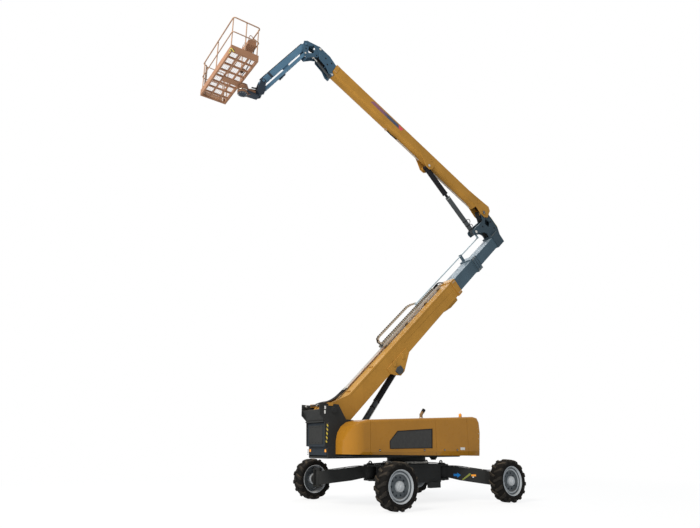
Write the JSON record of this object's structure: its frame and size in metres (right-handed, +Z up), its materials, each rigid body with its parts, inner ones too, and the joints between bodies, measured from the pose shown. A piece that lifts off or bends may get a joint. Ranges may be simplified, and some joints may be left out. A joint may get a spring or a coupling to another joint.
{
  "type": "articulating boom lift",
  "caption": "Wheeled articulating boom lift with swinging axle legs, slewing turntable, two telescoping booms, jib and work platform.",
  "frame": {"origin": "middle of the base of the whole object's box, on the ground", "axes": "+Z up, +X toward the stowed elbow (front), +Y the machine's left"},
  "size_m": [12.0126, 4.501, 14.4692],
  "materials": {
    "boom_yellow": "satin golden yellow paint, lightly worn",
    "hood_yellow": "satin golden yellow paint",
    "chassis_black": "satin black paint, dusty",
    "boom_bluegrey": "satin blue-grey paint",
    "jib_blue": "satin blue-grey paint",
    "rim_silver": "silver-grey paint, dusty",
    "tyre": "dusty black rubber",
    "platform_brown": "brown-orange paint",
    "cylinder_dark": "dark grey paint",
    "cast_weight": "painted cast iron",
    "exhaust_steel": "heat-tanned steel",
    "plastic_black": "matte black plastic",
    "lens_amber": "clear amber lens",
    "tube_steel": "drawn steel tube"
  },
  "bodies": {
    "chassis": {"chassis_frame": "chassis_black", "tie_down_eyes": "chassis_black"},
    "leg_front_right": {"leg_front_right": "chassis_black"},
    "steer_front_right": {"knuckle_front_right": "chassis_black"},
    "wheel_front_right": {"rim_front_right": "rim_silver", "tyre_front_right": "tyre"},
    "leg_front_left": {"leg_front_left": "chassis_black"},
    "steer_front_left": {"knuckle_front_left": "chassis_black"},
    "wheel_front_left": {"rim_front_left": "rim_silver", "tyre_front_left": "tyre"},
    "leg_rear_right": {"leg_rear_right": "chassis_black"},
    "steer_rear_right": {"knuckle_rear_right": "chassis_black"},
    "wheel_rear_right": {"rim_rear_right": "rim_silver", "tyre_rear_right": "tyre"},
    "leg_rear_left": {"leg_rear_left": "chassis_black"},
    "steer_rear_left": {"knuckle_rear_left": "chassis_black"},
    "wheel_rear_left": {"rim_rear_left": "rim_silver", "tyre_rear_left": "tyre"},
    "turntable": {"turntable_frame": "chassis_black", "counterweight": "cast_weight", "engine_block": "cast_weight", "beacon": "lens_amber", "hood_right": "hood_yellow", "hood_left": "hood_yellow"},
    "door_right_rear": {"hood_door_right_rear": "hood_yellow", "exhaust_pipe": "exhaust_steel"},
    "door_right_front": {"hood_door_right_front": "hood_yellow"},
    "door_left_rear": {"hood_door_left_rear": "hood_yellow"},
    "door_left_front": {"hood_door_left_front": "hood_yellow"},
    "lower_base": {"lower_boom_base": "boom_yellow", "hose_tray": "tube_steel", "drag_chain": "plastic_black"},
    "lower_mid": {"lower_boom_mid": "boom_bluegrey"},
    "lower_inner": {"lower_boom_inner": "boom_bluegrey", "elbow_bracket": "boom_bluegrey", "push_tube": "tube_steel"},
    "lower_rod": {"lower_cylinder_rod": "cylinder_dark"},
    "lower_barrel": {"lower_cylinder_barrel": "cylinder_dark"},
    "upper_base": {"upper_boom_base": "boom_yellow"},
    "upper_mid": {"upper_boom_mid": "boom_bluegrey"},
    "upper_inner": {"upper_boom_inner": "jib_blue"},
    "upper_rod": {"upper_cylinder_rod": "cylinder_dark"},
    "upper_barrel": {"upper_cylinder_barrel": "cylinder_dark"},
    "jib_mount": {"jib_mount": "jib_blue"},
    "level_barrel": {"level_cylinder_barrel": "cylinder_dark"},
    "level_rod": {"level_cylinder_rod": "cylinder_dark"},
    "jib": {"jib_beam": "jib_blue"},
    "jib_link": {"jib_link": "jib_blue"},
    "support": {"platform_support": "platform_brown"},
    "platform": {"platform_floor": "platform_brown", "platform_rails": "platform_brown", "control_box": "plastic_black", "lanyard_anchors": "platform_brown"},
    "gate": {"platform_gate": "platform_brown"}
  },
  "joints": [
    {"name": "slew", "type": "hinge", "parent": "chassis", "child": "turntable", "pos_m": [0.8623, 0, 1.09934], "axis": [0, 0, 1], "continuous": true},
    {"name": "leg_swing_front_right", "type": "hinge", "parent": "chassis", "child": "leg_front_right", "pos_m": [1.8423, -0.48, 0.77934], "axis": [0, 0, 1], "range_deg": [0, 42]},
    {"name": "steer_front_right", "type": "hinge", "parent": "leg_front_right", "child": "steer_front_right", "pos_m": [2.8973, -1.65, 0.61934], "axis": [0, 0, -1], "range_deg": [-35, 42]},
    {"name": "wheel_front_right", "type": "hinge", "parent": "steer_front_right", "child": "wheel_front_right", "pos_m": [2.8973, -2.03, 0.57684], "axis": [0, 1, 0], "continuous": true},
    {"name": "leg_swing_front_left", "type": "hinge", "parent": "chassis", "child": "leg_front_left", "pos_m": [1.8423, 0.48, 0.77934], "axis": [0, 0, -1], "range_deg": [0, 42]},
    {"name": "steer_front_left", "type": "hinge", "parent": "leg_front_left", "child": "steer_front_left", "pos_m": [2.8973, 1.65, 0.61934], "axis": [0, 0, 1], "range_deg": [-35, 42]},
    {"name": "wheel_front_left", "type": "hinge", "parent": "steer_front_left", "child": "wheel_front_left", "pos_m": [2.8973, 2.03, 0.57684], "axis": [0, 1, 0], "continuous": true},
    {"name": "leg_swing_rear_right", "type": "hinge", "parent": "chassis", "child": "leg_rear_right", "pos_m": [-0.1177, -0.48, 0.77934], "axis": [0, 0, -1], "range_deg": [0, 42]},
    {"name": "steer_rear_right", "type": "hinge", "parent": "leg_rear_right", "child": "steer_rear_right", "pos_m": [-1.1727, -1.65, 0.61934], "axis": [0, 0, 1], "range_deg": [-35, 42]},
    {"name": "wheel_rear_right", "type": "hinge", "parent": "steer_rear_right", "child": "wheel_rear_right", "pos_m": [-1.1727, -2.03, 0.57684], "axis": [0, 1, 0], "continuous": true},
    {"name": "leg_swing_rear_left", "type": "hinge", "parent": "chassis", "child": "leg_rear_left", "pos_m": [-0.1177, 0.48, 0.77934], "axis": [0, 0, 1], "range_deg": [0, 42]},
    {"name": "steer_rear_left", "type": "hinge", "parent": "leg_rear_left", "child": "steer_rear_left", "pos_m": [-1.1727, 1.65, 0.61934], "axis": [0, 0, -1], "range_deg": [-35, 42]},
    {"name": "wheel_rear_left", "type": "hinge", "parent": "steer_rear_left", "child": "wheel_rear_left", "pos_m": [-1.1727, 2.03, 0.57684], "axis": [0, 1, 0], "continuous": true},
    {"name": "door_right_rear", "type": "hinge", "parent": "turntable", "child": "door_right_rear", "pos_m": [-0.1827, -0.506, 2.22551], "axis": [-1, 0, 0], "range_deg": [0, 60]},
    {"name": "door_right_front", "type": "hinge", "parent": "turntable", "child": "door_right_front", "pos_m": [1.6173, -0.506, 2.30671], "axis": [-1, 0, 0], "range_deg": [0, 60]},
    {"name": "door_left_rear", "type": "hinge", "parent": "turntable", "child": "door_left_rear", "pos_m": [-0.1827, 0.506, 2.22551], "axis": [1, 0, 0], "range_deg": [0, 60]},
    {"name": "door_left_front", "type": "hinge", "parent": "turntable", "child": "door_left_front", "pos_m": [1.6173, 0.506, 2.30671], "axis": [1, 0, 0], "range_deg": [0, 60]},
    {"name": "lower_luff", "type": "hinge", "parent": "turntable", "child": "lower_base", "pos_m": [-2.0177, 0, 2.43934], "axis": [0, -1, 0], "range_deg": [-43.3, 27]},
    {"name": "lower_cylinder_pivot", "type": "hinge", "parent": "lower_base", "child": "lower_rod", "pos_m": [0.50965, 0, 3.69428], "axis": [0, -1, 0], "range_deg": [-8, 8]},
    {"name": "lower_cylinder_slide", "type": "slide", "parent": "lower_rod", "child": "lower_barrel", "axis": [-0.6186, 0, -0.7857], "range_m": [-1, 0.65]},
    {"name": "lower_boom_extend", "type": "slide", "parent": "lower_base", "child": "lower_mid", "axis": [0.7278, 0, 0.6858], "range_m": [-1.32, 4.1]},
    {"name": "lower_boom_extend_inner", "type": "slide", "parent": "lower_mid", "child": "lower_inner", "axis": [0.7278, 0, 0.6858], "range_m": [-1.32, 4.1]},
    {"name": "upper_luff", "type": "hinge", "parent": "lower_inner", "child": "upper_base", "pos_m": [5.02141, 0, 10.14856], "axis": [0, 1, 0], "range_deg": [-69.9, 25]},
    {"name": "upper_cylinder_pivot", "type": "hinge", "parent": "upper_base", "child": "upper_rod", "pos_m": [2.25837, 0, 11.35325], "axis": [0, -1, 0], "range_deg": [-15, 15]},
    {"name": "upper_cylinder_slide", "type": "slide", "parent": "upper_rod", "child": "upper_barrel", "axis": [0.7355, 0, -0.6776], "range_m": [-1.2, 0.5]},
    {"name": "upper_boom_extend", "type": "slide", "parent": "upper_base", "child": "upper_mid", "axis": [-0.8942, 0, 0.4478], "range_m": [0, 5.6]},
    {"name": "upper_boom_extend_inner", "type": "slide", "parent": "upper_mid", "child": "upper_inner", "axis": [-0.8942, 0, 0.4478], "range_m": [0, 5.6]},
    {"name": "platform_level", "type": "hinge", "parent": "upper_inner", "child": "jib_mount", "pos_m": [-2.50712, 0, 14.32118], "axis": [0, -1, 0], "range_deg": [-69.9, 25]},
    {"name": "level_cylinder_pivot", "type": "hinge", "parent": "upper_inner", "child": "level_barrel", "pos_m": [-2.02015, 0, 13.50695], "axis": [0, -1, 0], "range_deg": [-10, 10]},
    {"name": "level_cylinder_slide", "type": "slide", "parent": "level_barrel", "child": "level_rod", "axis": [-0.7776, 0, 0.6287], "range_m": [-0.16, 0.38]},
    {"name": "jib_luff", "type": "hinge", "parent": "jib_mount", "child": "jib", "pos_m": [-3.05762, 0, 14.29918], "axis": [0, 1, 0], "range_deg": [-6.5, 125.5]},
    {"name": "jib_link_swing", "type": "hinge", "parent": "jib_mount", "child": "jib_link", "pos_m": [-3.05762, 0, 13.93918], "axis": [0, 1, 0], "range_deg": [-6.5, 125.5]},
    {"name": "platform_support_level", "type": "hinge", "parent": "jib", "child": "support", "pos_m": [-4.49629, 0, 12.2059], "axis": [0, 1, 0], "range_deg": [-125.5, 6.5]},
    {"name": "platform_rotate", "type": "hinge", "parent": "support", "child": "platform", "pos_m": [-5.08729, 0, 11.8139], "axis": [0, 0, 1], "range_deg": [-75, 75]},
    {"name": "gate_swing", "type": "hinge", "parent": "platform", "child": "gate", "pos_m": [-5.85729, 1.22, 12.49934], "axis": [0, 0, -1], "range_deg": [0, 85]}
  ],
  "couplings": [
    {"joint": "leg_swing_front_left", "follows": "leg_swing_front_right", "ratio": 1},
    {"joint": "leg_swing_rear_right", "follows": "leg_swing_front_right", "ratio": 1},
    {"joint": "leg_swing_rear_left", "follows": "leg_swing_front_right", "ratio": 1},
    {"joint": "lower_cylinder_pivot", "follows": "lower_luff", "ratio": -0.015},
    {"joint": "lower_cylinder_slide", "follows": "lower_luff", "m_per_rad": 1.193},
    {"joint": "lower_boom_extend_inner", "follows": "lower_boom_extend", "ratio": 1},
    {"joint": "upper_cylinder_pivot", "follows": "upper_luff", "ratio": -0.049},
    {"joint": "upper_cylinder_slide", "follows": "upper_luff", "m_per_rad": 0.885},
    {"joint": "upper_boom_extend_inner", "follows": "upper_boom_extend", "ratio": 1},
    {"joint": "platform_level", "follows": "upper_luff", "ratio": 1},
    {"joint": "level_cylinder_pivot", "follows": "upper_luff", "ratio": 0.07},
    {"joint": "level_cylinder_slide", "follows": "upper_luff", "m_per_rad": -0.289},
    {"joint": "jib_link_swing", "follows": "jib_luff", "ratio": 1},
    {"joint": "platform_support_level", "follows": "jib_luff", "ratio": -1}
  ]
}
